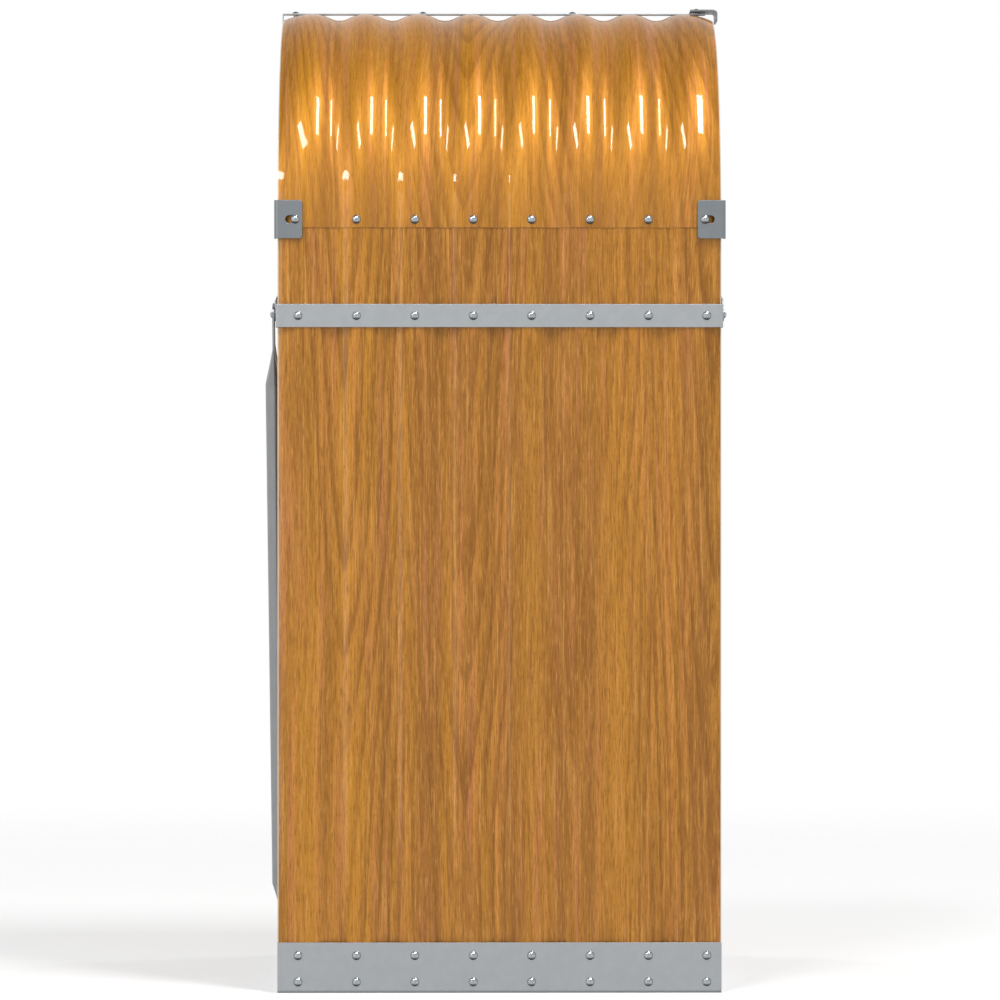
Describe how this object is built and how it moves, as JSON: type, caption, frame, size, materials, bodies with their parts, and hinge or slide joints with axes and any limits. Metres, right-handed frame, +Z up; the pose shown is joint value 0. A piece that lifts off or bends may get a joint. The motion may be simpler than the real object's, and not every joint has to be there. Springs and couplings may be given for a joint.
{
  "type": "firewood rack",
  "caption": "Tall firewood rack with corrugated wood-print sheet walls, a half-barrel roof, a folded steel base, flat straps, corner clips and tube braces",
  "frame": {"origin": "on the ground under the middle of the rack, bottom centre of its box", "axes": "+Z up, the open front faces -Y, the braced back faces +Y, +X and -X are the two sheet walls"},
  "size_m": [0.6396, 0.6432, 1.3943],
  "materials": {
    "wood_print_sheet": "glossy",
    "galvanised_steel": "satin",
    "zinc_fittings": "satin",
    "zinc_bolts": "satin"
  },
  "bodies": {
    "root": {"wall_left": "wood_print_sheet", "wall_right": "wood_print_sheet", "roof_sheet": "wood_print_sheet", "base_channel_left": "galvanised_steel", "base_channel_right": "galvanised_steel", "base_rail_front": "galvanised_steel", "base_rail_rear": "galvanised_steel", "mid_strap_left": "galvanised_steel", "mid_strap_right": "galvanised_steel", "mid_bar_left": "galvanised_steel", "mid_bar_right": "galvanised_steel", "eave_bar_left": "galvanised_steel", "eave_bar_right": "galvanised_steel", "ridge_strap": "galvanised_steel", "ridge_bar": "galvanised_steel", "floor_slat_1": "galvanised_steel", "floor_slat_2": "galvanised_steel", "floor_slat_3": "galvanised_steel", "floor_slat_4": "galvanised_steel", "floor_slat_5": "galvanised_steel", "floor_slat_6": "galvanised_steel", "corner_clip_front_left": "zinc_fittings", "corner_clip_front_right": "zinc_fittings", "corner_clip_rear_left": "zinc_fittings", "corner_clip_rear_right": "zinc_fittings", "ridge_clip": "zinc_fittings", "rear_brace_left": "zinc_fittings", "rear_brace_right": "zinc_fittings", "roof_brace_front_left": "zinc_fittings", "roof_brace_front_right": "zinc_fittings", "roof_brace_rear_left": "zinc_fittings", "roof_brace_rear_right": "zinc_fittings", "strap_bolts": "zinc_bolts", "base_bolts": "zinc_bolts", "eave_bolts": "zinc_bolts", "ridge_bolts": "zinc_bolts", "ridge_nuts": "zinc_bolts", "tab_bolts": "zinc_bolts", "tab_nuts": "zinc_bolts", "brace_foot_bolt": "zinc_bolts", "brace_foot_nut": "zinc_bolts", "slat_screws": "zinc_bolts"}
  },
  "joints": []
}
